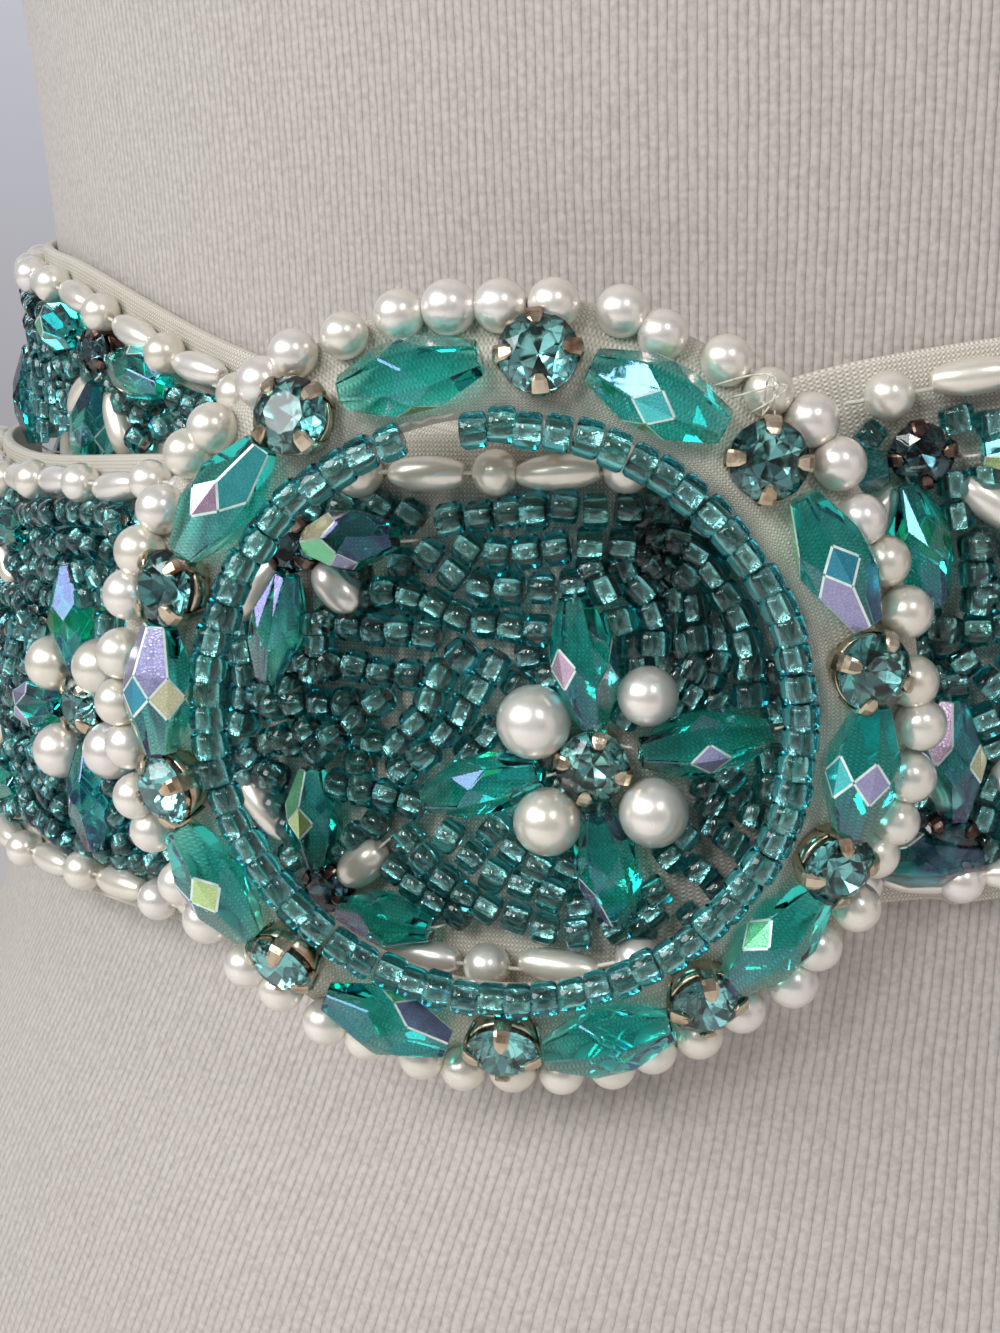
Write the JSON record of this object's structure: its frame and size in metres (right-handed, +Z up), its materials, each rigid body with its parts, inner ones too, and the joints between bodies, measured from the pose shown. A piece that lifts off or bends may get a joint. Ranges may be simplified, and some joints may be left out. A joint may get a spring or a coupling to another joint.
{
  "type": "beaded belt with ring buckle on a limbless dress form",
  "caption": "Wide cloth belt covered in teal glass beads and pearls, fastened through a round beaded ring buckle round the waist of a rib-knit covered dress form.",
  "frame": {"origin": "middle of the dress form's flat base, on the surface it stands on", "axes": "+Z up along the form to its neck, -Y to the form's front, +X to the form's left hand side as it is seen from the front"},
  "size_m": [0.328, 0.262, 0.67],
  "materials": {
    "rib_jersey": "fine rib knit, cream",
    "ivory_cloth": "plain woven satin, ivory",
    "brass": "rosy brass, polished, a little worn",
    "pearl": "pearl coating",
    "teal_crystal": "faceted, iridescent coating",
    "aqua_stone": "faceted, foil backed",
    "seed_glass": "silver lined glass"
  },
  "bodies": {
    "root": {"dress_form": "rib_jersey", "strap_through_buckle": "ivory_cloth", "strap_round_waist": "ivory_cloth", "buckle_ring": "ivory_cloth", "buckle_bar": "brass"}
  },
  "joints": []
}
